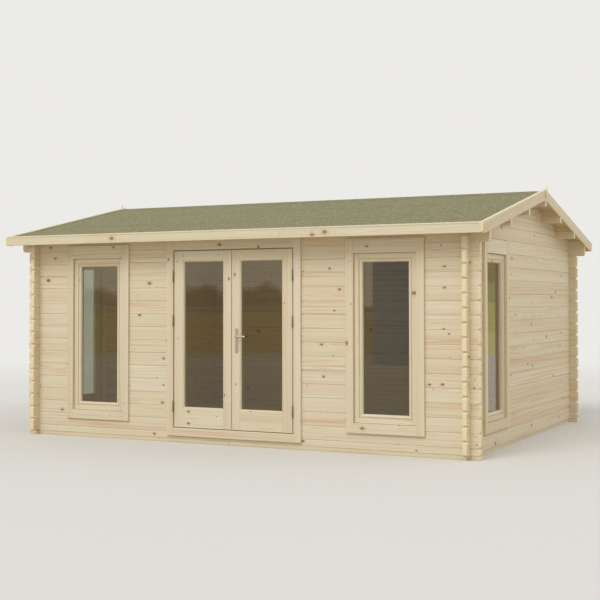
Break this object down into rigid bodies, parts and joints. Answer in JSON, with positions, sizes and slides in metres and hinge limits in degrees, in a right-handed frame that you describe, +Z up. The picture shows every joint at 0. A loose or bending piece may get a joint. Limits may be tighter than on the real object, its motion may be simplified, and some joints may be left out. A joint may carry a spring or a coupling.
{
  "type": "log cabin",
  "caption": "Small log cabin with a shallow felted ridge roof, overlapping log corners, tall windows and a glazed double door that opens outward.",
  "frame": {"origin": "on the ground under the middle of the cabin, at the centre of the box around it", "axes": "+X along the front to the right, -Y out of the front with the double door, +Z up"},
  "size_m": [5.438, 4.404, 2.6697],
  "materials": {
    "pine_log": "planed pine logs, untreated, with small knots",
    "planed_pine": "planed pine boards, untreated",
    "bearer_pine": "sawn pine, untreated",
    "mineral_felt": "mineral roofing felt, matt grey green",
    "pane_glass": "clear float glass",
    "satin_steel": "satin",
    "hinge_steel": "zinc plated, dull"
  },
  "bodies": {
    "cabin": {"back_barge_boards": "planed_pine", "back_barge_strips": "planed_pine", "back_eaves_log": "pine_log", "back_fascia": "planed_pine", "back_roof_boards": "planed_pine", "back_roof_felt": "mineral_felt", "back_wall": "pine_log", "door_cross_trims": "planed_pine", "door_head": "planed_pine", "door_jambs": "planed_pine", "door_side_trims": "planed_pine", "door_threshold": "planed_pine", "eaves_strips": "planed_pine", "finials": "planed_pine", "floor": "planed_pine", "floor_joists": "bearer_pine", "frame_hinges": "hinge_steel", "front_barge_boards": "planed_pine", "front_barge_strips": "planed_pine", "front_base_log": "pine_log", "front_eaves_log": "pine_log", "front_fascia": "planed_pine", "front_left_window": "planed_pine", "front_right_window": "planed_pine", "front_roof_boards": "planed_pine", "front_roof_felt": "mineral_felt", "front_wall_left": "pine_log", "front_wall_right": "pine_log", "left_gable_wall": "pine_log", "left_side_window": "planed_pine", "long_bearers": "bearer_pine", "ridge_purlin": "pine_log", "right_gable_wall": "pine_log", "right_side_window": "planed_pine", "side_purlins": "pine_log", "window_cross_trims": "planed_pine", "window_panes": "pane_glass", "window_side_trims": "planed_pine"},
    "left_leaf_body": {"left_leaf": "planed_pine", "left_leaf_glass": "pane_glass", "left_leaf_hinges": "hinge_steel"},
    "right_leaf_body": {"right_leaf": "planed_pine", "right_leaf_glass": "pane_glass", "right_leaf_hinges": "hinge_steel", "handle_plates": "satin_steel"},
    "lever": {"lever_handle": "satin_steel"}
  },
  "joints": [
    {"name": "left_leaf_hinge", "type": "hinge", "parent": "cabin", "child": "left_leaf_body", "pos_m": [-0.69, -1.968, 1.11], "axis": [0, 0, -1], "range_deg": [0, 110]},
    {"name": "right_leaf_hinge", "type": "hinge", "parent": "cabin", "child": "right_leaf_body", "pos_m": [0.69, -1.968, 1.11], "axis": [0, 0, 1], "range_deg": [0, 110]},
    {"name": "lever_turn", "type": "hinge", "parent": "right_leaf_body", "child": "lever", "pos_m": [0.0585, -1.9285, 1.098], "axis": [0, 1, 0], "range_deg": [0, 40], "stiffness_Nm_per_rad": 1, "springref_deg": -20.05}
  ]
}
